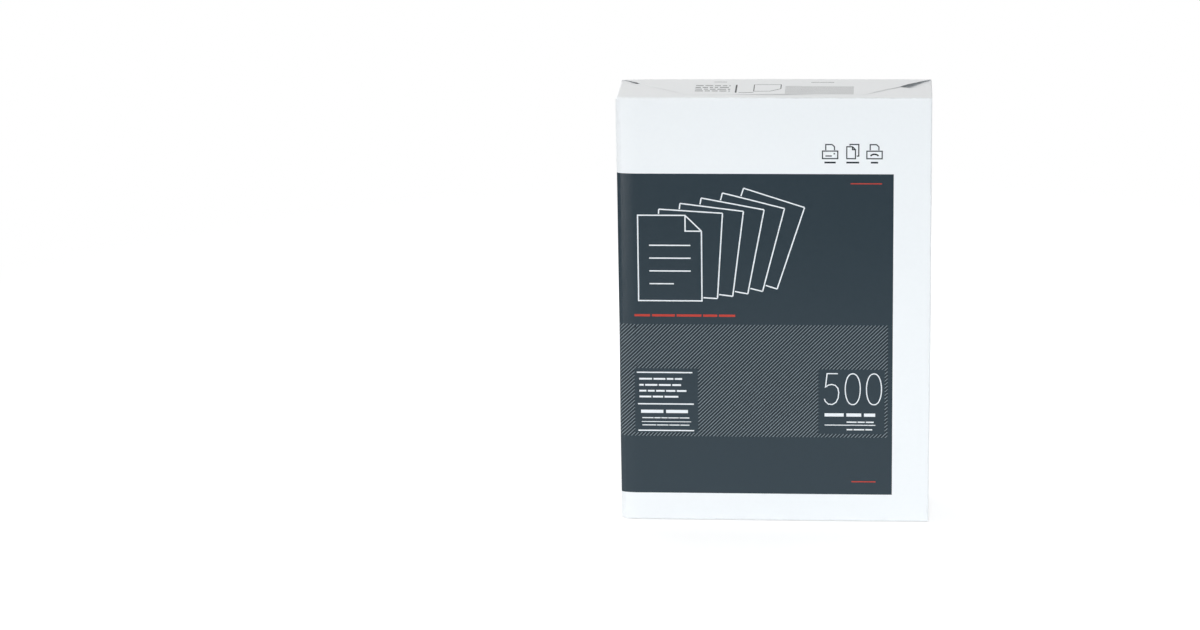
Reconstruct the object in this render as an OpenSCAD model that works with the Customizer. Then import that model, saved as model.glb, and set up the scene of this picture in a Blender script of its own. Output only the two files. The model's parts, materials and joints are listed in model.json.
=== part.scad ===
// A sealed ream of office paper, standing on one of its two folded ends.
// Sizes in mm. x runs across the label face, y from the label face to the back, z up.
// The sheets can't be seen, so the pack is one closed solid with no core inside it.

/* [Pack] */
// Width over the two long sides
pack_w = 212; // [180:0.5:230]
// Thickness from the label face to the seam on the back
pack_t = 54; // [50:0.5:64]
// Height over both folded ends
pack_h = 300; // [285:0.5:370]
// Radius of the two long edges at the left, where the wrapper is loose
loose_r = 3.4; // [1.2:0.1:5]
// Radius of the two long edges at the right, where it is pulled tight
tight_r = 1.3; // [0.8:0.1:4]
// Radius of the creases round each end
crease_r = 1.2; // [0.6:0.1:2.5]

/* [Folded ends] */
// How far each end flap reaches from its own crease
flap_depth = 45; // [34:0.5:46]
// Height of one folded layer with the air under it
layer_t = 0.4; // [0.2:0.05:0.8]
// How far in from the corner each slanted fold starts
fold_ease = 0.7; // [0.4:0.1:2]
// Length of the open pocket at the upper right, along its slanted fold from the back corner inwards
mouth_len = 27; // [15:0.5:34]
// Opening of that pocket under the flap
mouth_h = 2.6; // [1:0.1:4]
// Length of the other three pockets
mouth_small_len = 17; // [10:0.5:34]
// Opening of the other three pockets
mouth_small_h = 0.9; // [0.4:0.1:3]
// How far the side tuck slopes down into its pocket
slope_len = 12; // [6:0.5:14]
// How far a pocket runs in under the flap
under_len = 3.5; // [1.5:0.5:6]

/* [Back seam] */
// Width of the overlap glued down the back
seam_w = 22; // [14:0.5:34]
// Free edge of the overlap, measured from the middle of the back
seam_edge = 18; // [8:0.5:50]
// Extra thickness of the overlap
seam_t = 0.3; // [0.1:0.05:0.6]

/* [Printed field] */
// Margin between the field and the right edge
field_right = 26; // [10:0.5:60]
// Height of the field's lower edge over the foot
field_low = 20; // [8:0.5:60]
// Height of the bare strip over the field
field_high = 53; // [20:0.5:110]
// How far the field runs on round the left side
field_wrap = 26; // [8:0.5:40]
// Thickness given to the film of ink
ink_t = 0.05; // [0.03:0.01:0.15]

/* [Hidden] */
$fn = 48;
half_w = pack_w / 2;
half_t = pack_t / 2;
half_h = pack_h / 2;
back_y = half_t - seam_t;
end_r = 0.9 * min(crease_r, tight_r, loose_r);
fold_zone = 3 * (end_r + 2 * layer_t);
past = 2.5 * layer_t;
paper = [0.95, 0.95, 0.94];

// A quarter disc with its centre at x, y, turned so that it fills one corner.
module corner(x, y, turn) {
  translate([x, y])
    rotate(turn)
      intersection() {
        circle(r = end_r);
        square(end_r + past);
      }
}

// Half of an upright section: w wide to the right of the axis, with both end creases rounded.
module half_section(w, top) {
  translate([0, -top])
    square([w - end_r, 2 * top]);
  translate([w - end_r, -top + end_r])
    square([end_r, 2 * (top - end_r)]);
  corner(w - end_r, top - end_r, 0);
  corner(w - end_r, -top + end_r, 270);
}

// One upright edge of the block, the half section turned through a quarter circle.
module edge_post(x, y, r, top, turn) {
  translate([x, y, 0])
    rotate(turn)
      rotate_extrude(angle = 90)
        half_section(r, top);
}

// The wrapped block with all its edges rounded: a middle slab, two sides and four upright edges.
module envelope(x0, y0, y1, drop) {
  top = half_h - drop;
  mid_y = (y0 + y1) / 2;
  left = x0 + loose_r;
  right = half_w - tight_r;
  translate([left, mid_y, 0])
    rotate([90, 0, 90])
      linear_extrude(right - left) {
        half_section((y1 - y0) / 2, top);
        mirror([1, 0])
          half_section((y1 - y0) / 2, top);
      }
  translate([left, y1 - loose_r, 0])
    rotate([90, 0, 0])
      linear_extrude(y1 - y0 - 2 * loose_r)
        mirror([1, 0])
          half_section(loose_r, top);
  translate([right, y1 - tight_r, 0])
    rotate([90, 0, 0])
      linear_extrude(y1 - y0 - 2 * tight_r)
        half_section(tight_r, top);
  edge_post(right, y1 - tight_r, tight_r, top, 0);
  edge_post(left, y1 - loose_r, loose_r, top, 90);
  edge_post(left, y0 + loose_r, loose_r, top, 180);
  edge_post(right, y0 + tight_r, tight_r, top, 270);
}

// Outline of an end flap hinged on the back crease, its sides slanting in at 45 degrees.
module flap_outline() {
  base = half_w - fold_ease;
  polygon([
    [-base - past, half_t + past],
    [base + past, half_t + past],
    [base - flap_depth, half_t - flap_depth],
    [-base + flap_depth, half_t - flap_depth]
  ]);
}

// The outer flap from the back, a layer over the inner flap from the label face.
module end_flaps() {
  intersection() {
    envelope(-half_w, -half_t, back_y, layer_t);
    translate([0, 0, half_h - fold_zone])
      linear_extrude(fold_zone + past)
        mirror([0, 1])
          flap_outline();
  }
  intersection() {
    envelope(-half_w, -half_t, back_y, 0);
    translate([0, 0, half_h - fold_zone])
      linear_extrude(fold_zone + past)
        flap_outline();
  }
}

// Space of an open pocket under the slanted fold that starts at the right back corner.
// It deepens from the corner inwards, runs in under the flap, and the side tuck slopes down to it.
module pocket(open_len, open_h) {
  low = 0.9 * open_h;
  lip = layer_t / 3;
  normal_len = norm([low * slope_len, low * open_len, open_len * slope_len]);
  translate([half_w - fold_ease, half_t, half_h - 2 * layer_t])
    rotate(225) {
      intersection() {
        translate([0, layer_t, 0])
          rotate([90, 0, 0])
            linear_extrude(under_len + past)
              polygon([[0, lip], [open_len, lip], [open_len, -open_h]]);
        translate([0, 0, -open_h - past])
          linear_extrude(open_h + 2 * past)
            polygon([[under_len / 2, past], [open_len + past, past], [open_len + past, -under_len]]);
      }
      intersection() {
        translate([0, 0, -open_h - past])
          linear_extrude(open_h + past + layer_t)
            polygon([[lip, lip], [open_len - lip, lip], [open_len - lip, slope_len]]);
        rotate(
          a = acos(open_len * slope_len / normal_len),
          v = [low * open_len, low * slope_len, 0]
        )
          translate([-pack_t, -pack_t, 0])
            cube([2 * pack_t, 2 * pack_t, half_t]);
      }
    }
}

// The block itself, with the overlap down its back and the film of the printed field.
module block() {
  envelope(-half_w, -half_t, back_y, 2 * layer_t);
  intersection() {
    envelope(-half_w, -half_t, half_t, 0);
    translate([seam_edge - seam_w, 0, -half_h - past])
      cube([seam_w, pack_t, pack_h + 2 * past]);
  }
  intersection() {
    envelope(-half_w - ink_t, -half_t - ink_t, back_y, 0);
    translate([-half_w - past, -half_t - past, -half_h + field_low])
      cube([pack_w - field_right + past, field_wrap + past, pack_h - field_low - field_high]);
  }
}

module wrapped_ream() {
  color(paper)
    translate([0, 0, half_h])
      difference() {
        union() {
          block();
          end_flaps();
          mirror([0, 0, 1])
            end_flaps();
        }
        pocket(mouth_len, mouth_h);
        mirror([1, 0, 0])
          pocket(mouth_small_len, mouth_small_h);
        mirror([0, 0, 1]) {
          pocket(mouth_small_len, mouth_small_h);
          mirror([1, 0, 0])
            pocket(mouth_small_len, mouth_small_h);
        }
      }
}

wrapped_ream();
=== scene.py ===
import json
import math

import bpy
import numpy as np
from mathutils import Matrix

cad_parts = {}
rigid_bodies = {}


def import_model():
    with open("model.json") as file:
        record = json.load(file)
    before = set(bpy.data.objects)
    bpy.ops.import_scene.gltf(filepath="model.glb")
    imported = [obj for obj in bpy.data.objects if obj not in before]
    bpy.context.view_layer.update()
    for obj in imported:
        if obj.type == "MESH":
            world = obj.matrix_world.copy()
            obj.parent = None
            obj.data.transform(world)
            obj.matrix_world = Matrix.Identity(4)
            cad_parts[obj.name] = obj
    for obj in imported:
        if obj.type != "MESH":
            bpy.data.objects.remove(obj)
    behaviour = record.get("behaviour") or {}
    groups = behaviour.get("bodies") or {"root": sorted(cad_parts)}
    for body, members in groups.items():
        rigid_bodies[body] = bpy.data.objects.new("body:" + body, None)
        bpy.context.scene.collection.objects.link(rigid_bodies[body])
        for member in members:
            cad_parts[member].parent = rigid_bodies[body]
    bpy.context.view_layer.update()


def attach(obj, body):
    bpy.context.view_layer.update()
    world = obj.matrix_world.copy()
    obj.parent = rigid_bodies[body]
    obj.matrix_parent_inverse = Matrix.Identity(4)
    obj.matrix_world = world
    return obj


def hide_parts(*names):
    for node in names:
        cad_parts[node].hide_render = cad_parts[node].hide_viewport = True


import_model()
print("frame loaded")

# Planes and radii of the wrapper, all just inside the CAD block so that its slack has room.
wrapperShape = {
    "height": 300.0,
    "halfWidth": 106.0,
    "left": -105.65,
    "right": 105.25,
    "front": -26.7,
    "back": 26.45,
    "tuckTop": 299.2,
    "tuckFoot": 0.8,
    "looseRadius": 3.4,
    "tightRadius": 1.3,
    "radiusChange": (0.05, 0.9),  # start and span of the change between them, as shares of the width
    "softCrease": 2.3,
    "footCrease": 1.2,
    "crispCrease": 1.0,
    "crispOver": 110.0,  # width from the left over which the creases grow crisp
    "creaseRoom": 3.0,  # height kept free for each crease
    "foldStart": 105.0,  # x at which the slanted folds of the ends start
    "endLevel": 298.0,  # height at which the walls' swell is read for both ends
}

# The grid of the wrapper's body: cells in millimetres and steps round each upright edge.
bodyGrid = {
    "cell": 4.0,
    "sideCell": 0.05,  # share of the short side
    "fineCell": 2.0,
    "fineLeft": -62.0,  # finer cells from the left edge up to here
    "fineMiddle": (62.0, 74.0),
    "fineRight": 82.0,  # and from here to the right edge
    "looseSteps": 7,
    "tightSteps": 5,
}

# Where the colours of the printed field start and end: x from the middle of the label, z from the foot.
fieldLayout = {
    "right": 80.0,
    "low": 20.0,
    "high": 247.0,
    "wrapEnd": -1.0,  # y at which it ends on the left side
    "bandRight": 76.7,
    "bandLow": 61.2,
    "bandHigh": 141.3,
    "boxLow": 63.7,
    "boxHigh": 109.9,
    "leftBox": (-95.6, -52.2),
    "rightBox": (29.6, 74.8),
}

# The glued overlap down the back: it rises slowly on one side and ends in a cut edge on the other. Its
# last strip, past the glue, is a sheet of its own that stands off a little.
seamShape = {
    "riseFrom": -30.0,
    "riseTo": -4.0,
    "edge": 18.0,
    "height": 0.34,
    "glueEnd": 12.5,
    "cutStep": 0.06,  # width of the step down at a cut edge
    "standOff": 0.05,
    "standWave": (0.04, 15.0, 38.0),  # height and two lengths over 2 pi
    "sheetFrom": 9.0,
    "sheetMargin": 3.6,
    "sheetCell": 4.0,
    "toEdge": (5.5, 3.5, 2.0, 1.0, 0.5, 0.2, 0.06, 0.0),
    "thickness": 0.13,
    "buried": 0.06,
    "edgeRound": 0.07,
    "clear": 0.01,
}

# Share of painted grey fold shade on the white wrapper and of rubbed wear on its inks, from 0 to 1: on the
# upright edges, on the end creases where they are soft, on the slanted folds and on the free edge of the
# overlap. The creases reach 1 over a width from a start.
foldShadeAndRubShape = {
    "upright": 0.3,
    "softCrease": 0.25,
    "creaseFrom": -60.0,
    "creaseOver": 110.0,
    "slanted": 0.3,
    "slantedWidth": 0.5,
    "freeEdge": 0.6,
}

# Slow waves of the paper: height, lengths over 2 pi in the sheet's two directions, and start in radians.
paperWaves = {
    "front": (0.05, 37.0, 61.0, 0.0),
    "frontFine": (0.03, -57.0, 23.0, 0.0),
    "frontEnds": (0.05, 13.0, math.inf, 0.8),
    "back": (0.04, 29.0, -47.0, 0.0),
    "backFine": (0.02, math.inf, 19.0, 0.0),
    "right": (0.06, 9.0, 21.0, 0.0),
    "left": (0.1, math.inf, 41.0, 0.6),
    "leftFine": (0.05, 8.0, 17.0, 0.0),
    "tucks": (0.05, 5.0, 7.0, 0.0),
    "outerFlap": (0.05, 11.0, math.inf, 0.7),
    "outerFlapFine": (0.03, 23.0, -9.0, 0.0),
    "innerFlap": (0.03, 14.0, math.inf, 0.4),
}

# Larger swell of the walls: the pillow of each broad face, the reach of the pulled waves along both ends,
# the slack strip at the label's left, and the belly of the right side.
swellShape = {
    "frontPillow": 0.16,
    "backPillow": 0.08,
    "topWaves": 26.0,
    "footWaves": 30.0,
    "waveBreak": 31.0,  # length over 2 pi of what breaks up the pulled waves
    "slackFrom": -93.0,
    "slackWidth": 13.0,
    "slackLength": 9.25,  # distance past its start at which the slack is 1 mm
    "bellyDepth": 0.62,
    "bellyMiddle": 132.0,
    "bellyReach": 46.0,
    "bellyWidth": 40.0,
    "leftOut": 0.12,
}

# Turn of the rows over a crease, from the wall to the end.
quarterTurn = np.linspace(0, math.pi / 2, 7)


# Smooth step 3t^2 - 2t^3, where t goes from 0 at the start to 1 a span further on.
def ease(x, start=0.0, span=1.0):
    t = np.clip((x - start) / span, 0.0, 1.0)
    return t * t * (3.0 - 2.0 * t)


# A hill of height 1 at the centre: e to the power -(distance / width)^2.
def hill(x, centre, width):
    return np.exp(-(((x - centre) / width) ** 2))


# A wave of the paper at u, v: its height times sin(u / first length + v / second length + start).
def paperWave(name, u, v):
    high, alongU, alongV, start = paperWaves[name]
    return high * np.sin(u / alongU + v / alongV + start)


# Half a sine wave from the foot to the upper end.
def pillow(depth, z):
    return depth * np.sin(np.pi * np.clip(z / wrapperShape["height"], 0, 1))


# Lines from low to high through every needed value, each stretch between them cut evenly to about the step.
def spreadLines(low, high, step, needed=()):
    stops = np.unique(np.round(np.array([low, *needed, high], float), 4))
    stretches = []
    for a, b in zip(stops[:-1], stops[1:]):
        cells = max(1, int(round((b - a) / step)))
        stretches.append(np.linspace(a, b, cells + 1)[:-1])
    return np.append(np.concatenate(stretches), high)


# Radius of the upright edges at x: loose at the left, tight at the right.
def edgeRadius(x):
    s = wrapperShape
    t = (x - s["left"]) / (s["right"] - s["left"])
    return s["looseRadius"] + (s["tightRadius"] - s["looseRadius"]) * ease(t, *s["radiusChange"])


# Radius of the creases round the ends at x: soft at the left of the upper end, crisp from the middle on.
# The pack's weight keeps the foot crisp all along.
def creaseRadius(x, atFoot=False):
    s = wrapperShape
    atLeft = s["footCrease"] if atFoot else s["softCrease"]
    return s["crispCrease"] + (atLeft - s["crispCrease"]) * (1.0 - ease(x, -s["halfWidth"], s["crispOver"]))


# Share of painted grey shade on the white and of rubbed wear on the inks along the creases round the ends
# at x: most where they are crisp.
def creaseShadeAndRub(x):
    r = foldShadeAndRubShape
    return r["softCrease"] + (1.0 - r["softCrease"]) * ease(x, r["creaseFrom"], r["creaseOver"])


# Swell of the label face: a pillow that is lower by the sides, slow waves, pulled waves near the ends, and
# at the left a slack that falls back with the square of the distance.
def frontSwell(x, z):
    w = swellShape
    across = 1.0 - 0.5 * (x / wrapperShape["halfWidth"]) ** 2
    ends = hill(z, wrapperShape["height"], w["topWaves"]) + hill(z, 0.0, w["footWaves"])
    pulled = paperWave("frontEnds", x, z) * np.cos(x / w["waveBreak"]) * ends
    drift = paperWave("front", x, z) + paperWave("frontFine", x, z)
    slack = (np.clip(w["slackFrom"] - x, 0, w["slackWidth"]) / w["slackLength"]) ** 2
    return pillow(w["frontPillow"], z) * across + pulled + drift - slack


# Share of the overlap's height at x: a slow rise that ends at the given cut.
def overlapShare(x, cut):
    s = seamShape
    return ease(x, s["riseFrom"], s["riseTo"] - s["riseFrom"]) * (x < cut + 0.5 * s["cutStep"])


# Swell of the back under everything that is glued down: a pillow, slow waves and the overlap.
def backSwell(x, z):
    drift = paperWave("back", x, z) + paperWave("backFine", x, z)
    overlap = seamShape["height"] * overlapShare(x, seamShape["glueEnd"])
    return pillow(swellShape["backPillow"], z) + drift + overlap


# Swell of the back with the overlap out to its cut edge, which lifts unevenly along its height.
def backSeamSwell(x, z):
    s = seamShape
    free = ease(x, s["glueEnd"], s["edge"] - s["glueEnd"]) * (x < s["edge"] + 0.5 * s["cutStep"])
    bare = backSwell(x, z) - s["height"] * overlapShare(x, s["glueEnd"])
    high, first, second = s["standWave"]
    lift = s["standOff"] + high * np.sin(z / first) * np.sin(z / second)
    return bare + s["height"] * overlapShare(x, s["edge"]) + free * lift


# Swell of the right side: the slack wrapper bellies out at mid height, less towards the edges.
def rightSwell(y, z):
    w = swellShape
    belly = w["bellyDepth"] * hill(z, w["bellyMiddle"], w["bellyReach"])
    return belly * (1 - (y / w["bellyWidth"]) ** 2) + paperWave("right", y, z)


# Swell of the left side, where the loose paper stands out and waves a little along its height.
def leftSwell(y, z):
    return swellShape["leftOut"] + paperWave("left", y, z) + paperWave("leftFine", y, z)


print("wrapper shapes ready")

# The open pockets under the slanted folds: opening and length along the fold of each, how far they spread
# outside the fold and in under the flap, and how they deepen along the fold.
pocketShape = {
    "rightTop": (2.6, 27.0),
    "leftTop": (0.8, 16.5),
    "foot": (0.9, 20.0),
    "spread": 11.0,
    "spreadPower": 1.6,
    "under": 6.0,
    "underFade": 4.0,
    "fullAt": 0.86,  # share of the length at which the opening is full
    "growPower": 1.15,
    "curve": 0.15,  # share of the length that its round end takes
    "pastEnd": 0.5,
}


# The pockets at the right and at the left of one end.
def pocketPair(atFoot):
    p = pocketShape
    return (p["foot"], p["foot"]) if atFoot else (p["rightTop"], p["leftTop"])


# Depth of a pocket at x, y for the slanted fold that starts at the right back corner: it grows along the
# fold, ends in a short round curve, and eases off to both sides of the fold.
def pocketDepth(x, y, pocket):
    p = pocketShape
    opening, length = pocket
    dx = wrapperShape["foldStart"] - x
    dy = wrapperShape["back"] - y
    along = (dx + dy) / math.sqrt(2.0)
    across = (dy - dx) / math.sqrt(2.0)
    ending = np.sqrt(np.clip((length + p["pastEnd"] - along) / (p["curve"] * length), 0, 1))
    grow = np.clip(along / (p["fullAt"] * length), 0, 1) ** p["growPower"] * ending
    outside = np.clip(1.0 - across / p["spread"], 0, 1) ** p["spreadPower"]
    inside = 1.0 - ease(-across, p["under"], p["underFade"])
    return opening * grow * np.where(across > 0, outside, inside)


# Height of the side tucks over their own plane: sunk where the pockets open, with a faint unevenness.
def tuckRise(x, y, atFoot):
    rightPocket, leftPocket = pocketPair(atFoot)
    sunk = pocketDepth(x, y, rightPocket) + pocketDepth(-x, y, leftPocket)
    return -sunk + paperWave("tucks", x, y)


# Plan of the block at any height. A point has signed corner shares a, b: 0 on the flats, 1 at the edge.
# It lies at its own centre plus the inset edge radius times the share, pulled on to a quarter circle.
def planPoint(a, b, midX, midY, inset):
    s = wrapperShape
    radius = edgeRadius(midX)
    largest = np.maximum(np.abs(a), np.abs(b))
    length = np.hypot(a, b)
    pull = np.where(length > 0, largest / np.maximum(length, 1e-9), 1.0)
    low = s["front"] + radius
    high = s["back"] - radius
    x = midX + (radius - inset) * a * pull
    y = low + (high - low) * midY + (radius - inset) * b * pull
    return x, y, a * pull, b * pull


# Moves points of the plan out by the swell of the walls that they share in.
def swollen(x, y, outX, outY, z):
    moveX = np.where(outX > 0, outX * rightSwell(y, z), outX * leftSwell(y, z))
    moveY = np.where(outY > 0, outY * backSwell(x, z), outY * frontSwell(x, z))
    return x + moveX, y + moveY


# Faces between the points of a numbered grid. Seen from the side that they look to, the grid's second
# direction lies to the left of its first, or to the right when they are turned over.
def gridFaces(index, over=False):
    corners = [index[:-1, :-1], index[1:, :-1], index[1:, 1:], index[:-1, 1:]]
    if over:
        corners = [corners[0], corners[3], corners[2], corners[1]]
    return np.stack(corners, axis=-1).reshape(-1, 4)


# Lines of the body's grid. Along x each has its corner share and the centre of its curve, along y its
# corner share and its place from 0 to 1 between the two curves.
def planLines():
    s = wrapperShape
    f = fieldLayout
    g = bodyGrid
    low = s["left"] + s["looseRadius"]
    high = s["right"] - s["tightRadius"]
    glueCut = (seamShape["glueEnd"], seamShape["glueEnd"] + seamShape["cutStep"])
    needed = [*f["leftBox"], *f["rightBox"], f["bandRight"], f["right"], *glueCut]
    for stretch in ((low, g["fineLeft"]), g["fineMiddle"], (g["fineRight"], high)):
        needed.extend(np.arange(*stretch, g["fineCell"]))
    middle = spreadLines(low, high, g["cell"], needed)
    leftCurve = np.linspace(-1, 0, g["looseSteps"] + 1)[:-1]
    rightCurve = np.linspace(0, 1, g["tightSteps"] + 1)[1:]
    endCurve = np.linspace(0, 1, g["looseSteps"] + 1)[1:]
    flatDepth = s["back"] - s["front"] - 2 * s["looseRadius"]
    wrapShare = (f["wrapEnd"] - s["front"] - s["looseRadius"]) / flatDepth
    across = spreadLines(0.0, 1.0, g["sideCell"], (wrapShare,))
    aLine = np.concatenate([leftCurve, np.zeros(len(middle)), rightCurve])
    xLine = np.concatenate([np.full(len(leftCurve), low), middle, np.full(len(rightCurve), high)])
    bLine = np.concatenate([-endCurve[::-1], np.zeros(len(across)), endCurve])
    yLine = np.concatenate([np.zeros(len(endCurve)), across, np.ones(len(endCurve))])
    return aLine, xLine, bLine, yLine


# Colour of each wall cell by its middle: 0 bare wrapper, 1 slate field, 2 darker ground of the band.
def wallColours(ring, nx, ny):
    f = fieldLayout
    midX, midY = (0.5 * (ring[:-1, :, k] + np.roll(ring[:-1, :, k], -1, axis=1)) for k in (0, 1))
    midZ = 0.5 * (ring[:-1, :, 2] + ring[1:, :, 2])
    number = np.arange(ring.shape[1])
    onFront = (number < nx) & (midX < f["right"])
    onLeft = (number >= 2 * nx + ny) & (midY < f["wrapEnd"])
    field = (onFront | onLeft) & (midZ > f["low"]) & (midZ < f["high"])
    band = field & (midZ > f["bandLow"]) & (midZ < f["bandHigh"]) & (onLeft | (midX < f["bandRight"]))
    for left, right in (f["leftBox"], f["rightBox"]):
        band &= ~(onFront & (midX > left) & (midX < right) & (midZ > f["boxLow"]) & (midZ < f["boxHigh"]))
    return np.where(band, 2, np.where(field, 1, 0)).reshape(-1)


# The body of the wrapper as one closed grid: rings up the four walls and round both creases, then a grid
# of the same lines over each end. Returns its arrays and the unrolled print grid.
def wrapperBody():
    s = wrapperShape
    f = fieldLayout
    aLine, xLine, bLine, yLine = planLines()
    nx = len(aLine) - 1
    ny = len(bLine) - 1

    # Rows from foot to top: the turn over each crease, which end they belong to, and their own height.
    neededZ = [f[key] for key in ("low", "bandLow", "boxLow", "boxHigh", "bandHigh", "high")]
    wallFoot = s["tuckFoot"] + s["creaseRoom"]
    wallTop = s["tuckTop"] - s["creaseRoom"]
    walls = spreadLines(wallFoot, wallTop, bodyGrid["cell"], neededZ)
    turn = np.concatenate([quarterTurn[:0:-1], np.zeros(len(walls) + 2), quarterTurn[1:]])[:, None]
    creaseRows = len(quarterTurn)
    up = np.concatenate([-np.ones(creaseRows), np.zeros(len(walls)), np.ones(creaseRows)])[:, None]
    flat = np.concatenate([np.zeros(creaseRows), walls, np.zeros(creaseRows)])[:, None]

    # Columns once round the plan: front, right, back and left.
    ringI = np.concatenate([np.arange(nx), np.full(ny, nx), np.arange(nx, 0, -1), np.zeros(ny, int)])
    ringJ = np.concatenate([np.zeros(nx, int), np.arange(ny), np.full(nx, ny), np.arange(ny, 0, -1)])
    count = len(ringI)
    ringX = xLine[ringI][None, :]
    crease = np.where(up < 0, creaseRadius(ringX, True), creaseRadius(ringX))
    inset = crease * (1.0 - np.cos(turn))
    drop = crease * (1.0 - np.sin(turn))
    height = np.where(up > 0, s["tuckTop"] - drop, np.where(up < 0, s["tuckFoot"] + drop, flat))
    a = np.broadcast_to(aLine[ringI], inset.shape)
    b = np.broadcast_to(bLine[ringJ], inset.shape)
    x, y, outX, outY = planPoint(a, b, ringX, yLine[ringJ][None, :], inset)
    ring = np.stack([*swollen(x, y, outX, outY, height), height], axis=-1)

    gridI, gridJ = np.meshgrid(np.arange(nx + 1), np.arange(ny + 1), indexing="ij")
    caps = []
    for atFoot in (True, False):
        capCrease = creaseRadius(xLine[gridI], atFoot)
        plan = planPoint(aLine[gridI], bLine[gridJ], xLine[gridI], yLine[gridJ], capCrease)
        capX, capY = swollen(*plan, s["endLevel"])
        rise = tuckRise(capX, capY, atFoot)
        capZ = s["tuckFoot"] - rise if atFoot else s["tuckTop"] + rise
        caps.append(np.stack([capX, capY, capZ], axis=-1)[1:-1, 1:-1].reshape(-1, 3))
    points = np.concatenate([ring.reshape(-1, 3), *caps])

    rings = np.arange(len(up) * count).reshape(len(up), count)
    capNumbers = rings.size + np.arange(len(caps[0])).reshape(nx - 1, ny - 1)
    footIndex = np.zeros((nx + 1, ny + 1), int)
    footIndex[ringI, ringJ] = rings[0]
    footIndex[1:-1, 1:-1] = capNumbers
    topIndex = footIndex + rings[-1, 0]
    topIndex[1:-1, 1:-1] = capNumbers + len(caps[0])
    wallFaces = gridFaces(np.column_stack([rings, rings[:, 0]]), over=True)
    faces = np.concatenate([wallFaces, gridFaces(topIndex), gridFaces(footIndex, over=True)])

    colours = np.zeros(len(faces), int)
    colours[: len(wallFaces)] = wallColours(ring, nx, ny)
    # Painted grey shade on the white along the upright edges and end creases, rubbed wear where they are
    # inked.
    upright = np.where(np.minimum(np.abs(a), np.abs(b)) > 0, foldShadeAndRubShape["upright"], 0.0)
    onCrease = np.abs(up) * 2.0 * np.sin(turn) * np.cos(turn) * creaseShadeAndRub(x)
    shadeAndRubs = np.zeros(len(points))
    shadeAndRubs[: rings.size] = np.maximum(upright, onCrease).reshape(-1)

    # The print grid: label face from its right end leftwards, then on round the left side, unrolled so
    # that its first coordinate is x on the flat of the face.
    order = np.concatenate([np.arange(nx, -1, -1), np.arange(count - 1, count - ny - 1, -1)])
    net = ring[creaseRows : creaseRows + len(walls), order]
    plain = np.stack([x[creaseRows, order], y[creaseRows, order]], axis=-1)
    roll = -np.append(0.0, np.cumsum(np.hypot(*np.diff(plain, axis=0).T)))
    roll += plain[bodyGrid["tightSteps"], 0] - roll[bodyGrid["tightSteps"]]
    return points, faces, colours, shadeAndRubs, (roll[::-1], walls, net[:, ::-1])


bodyPoints, bodyFaces, bodyColours, bodyShadeAndRubs, printGrid = wrapperBody()
print("wrapper body:", len(bodyFaces), "faces")

# The four end flaps. Each is one sheet from its own wall over the crease to its free edge. A pair gives
# the start and the span of an easing.
flapShape = {
    "depth": 44.5,
    "outerPlane": 299.72,
    "innerPlane": 299.44,
    "foldedEdge": 0.14,
    "singleSheet": 0.1,
    "thinning": (18.0, 20.0),
    "onWall": (3.4, 2.72),  # heights of its two rows down the wall
    "edgeShare": 0.98,  # share of the upright edge's radius up to which it follows the edge's curve
    "clear": 0.012,
    "wallFade": 8.0,  # distance from the wall over which its swell fades out of the flap
    "slantRound": 0.2,
    "freeRound": 0.09,
    "slantReach": 7.0,  # how far in from its slanted folds the outer flap follows what is under it
    "mouthRise": 0.07,  # share of a pocket's opening by which the flap rises over it
    "mouthFull": 0.8,
    "mouthEnd": (-1.5, 4.5),
    "seated": 0.36,
    "seatedFrom": (-1.0, 5.0),
    "seatedTo": (23.0, 7.0),
    "glued": 0.13,
    "gluedFrom": (35.0, 8.0),
    "cornerDip": 0.35,
    "cornerWidth": 24.0,
    "cornerDepth": 30.0,
    "overlapStep": 0.12,
    "overlapFrom": 6.0,
    "waveFrom": 12.0,
    "innerWaveFrom": 4.0,
}

# The grid of a flap: distances in from the slanted folds and back from the free edge, and cells between.
flapGrid = {
    "nearFold": (15.5, 11.5, 8.0, 5.5, 3.5, 2.0, 1.0, 0.5, 0.25, 0.1, 0.0),
    "nearFree": (2.0, 1.0, 0.45, 0.2, 0.08, 0.0),
    "centre": 40.0,
    "centreCell": 5.0,
    "between": 11,
    "flatFrom": 3.2,
    "flatTo": 3.5,
    "rowCell": 2.8,
}


# Height of the outer flap over its plane: raised over the open pocket, dipped at the left corner, down on
# the side tuck where neither a pocket nor the inner flap holds it up, glued down at its free edge,
# stepped at the overlap of the wrapper, and slightly uneven.
def outerLift(x, q, atFoot=False):
    f = flapShape
    rightPocket, leftPocket = pocketPair(atFoot)
    start = wrapperShape["foldStart"]
    fromSlant = (start - q - np.abs(x)) / math.sqrt(2.0)
    along = (start - np.abs(x) + q) / math.sqrt(2.0)
    opening = np.where(x > 0, rightPocket[0], leftPocket[0])
    length = np.where(x > 0, rightPocket[1], leftPocket[1])
    past = along - length
    bySlant = np.exp(-np.clip(fromSlant, 0, None) / f["slantReach"])
    raised = f["mouthRise"] * opening * ease(along, 0.0, f["mouthFull"] * length)
    mouth = raised * (1 - ease(past, *f["mouthEnd"])) * bySlant
    seated = -f["seated"] * ease(past, *f["seatedFrom"]) * (1.0 - ease(q, *f["seatedTo"])) * bySlant
    glued = -f["glued"] * ease(q, *f["gluedFrom"])
    nearLeft = 1.0 - ease(x, -wrapperShape["halfWidth"], f["cornerWidth"])
    corner = -f["cornerDip"] * nearLeft * (1.0 - ease(q, 0.0, f["cornerDepth"]))
    overlap = f["overlapStep"] * overlapShare(x, seamShape["edge"]) * ease(q, 0.0, f["overlapFrom"])
    wave = paperWave("outerFlap", x, q) * ease(q, 0.0, f["waveFrom"]) + paperWave("outerFlapFine", x, q)
    return mouth + seated + glued + corner + overlap + wave


# Height of the inner flap over its plane: almost flat at both ends, because the outer flap presses on it.
def innerLift(x, q, atFoot):
    return paperWave("innerFlap", x, q) * ease(q, 0.0, flapShape["innerWaveFrom"])


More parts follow.
